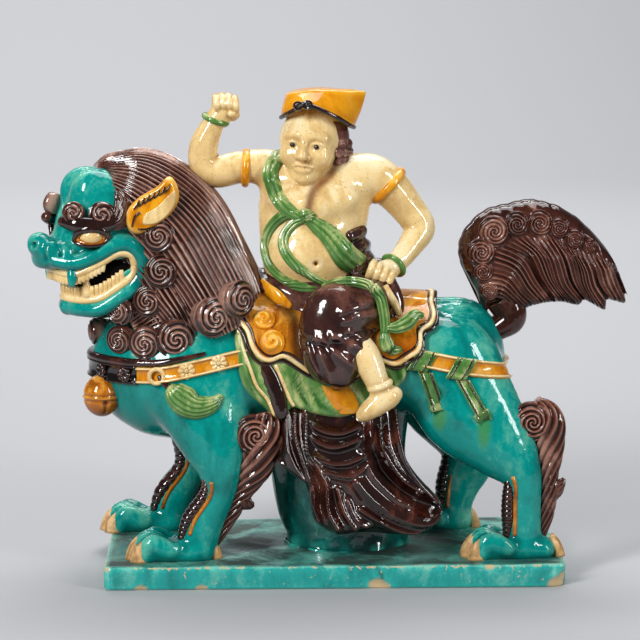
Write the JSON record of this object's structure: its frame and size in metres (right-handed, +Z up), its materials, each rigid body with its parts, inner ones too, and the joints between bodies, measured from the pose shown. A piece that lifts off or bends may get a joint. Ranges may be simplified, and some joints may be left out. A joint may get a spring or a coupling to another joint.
{
  "type": "ridge beast ornament",
  "caption": "Glazed stoneware roof ridge ornament: a rider with a raised fist on a striding lion, on a flat slab base that beds on a ridge.",
  "frame": {"origin": "middle of the slab's underside", "axes": "+Z up, -X the way the lion faces, -Y the finished side that is seen from the street"},
  "size_m": [0.599, 0.202, 0.4837],
  "materials": {
    "turquoise_glaze": "glossy running lead glaze, green-turquoise, darker where it pools",
    "brown_glaze": "glossy manganese brown, reddish where it breaks over ridges",
    "amber_glaze": "glossy amber-yellow lead glaze",
    "straw_glaze": "glossy straw-cream glaze with fine brown specks",
    "leaf_glaze": "glossy leaf-green glaze, paler on edges"
  },
  "bodies": {
    "root": {"ridge_beast": "turquoise_glaze"}
  },
  "joints": []
}
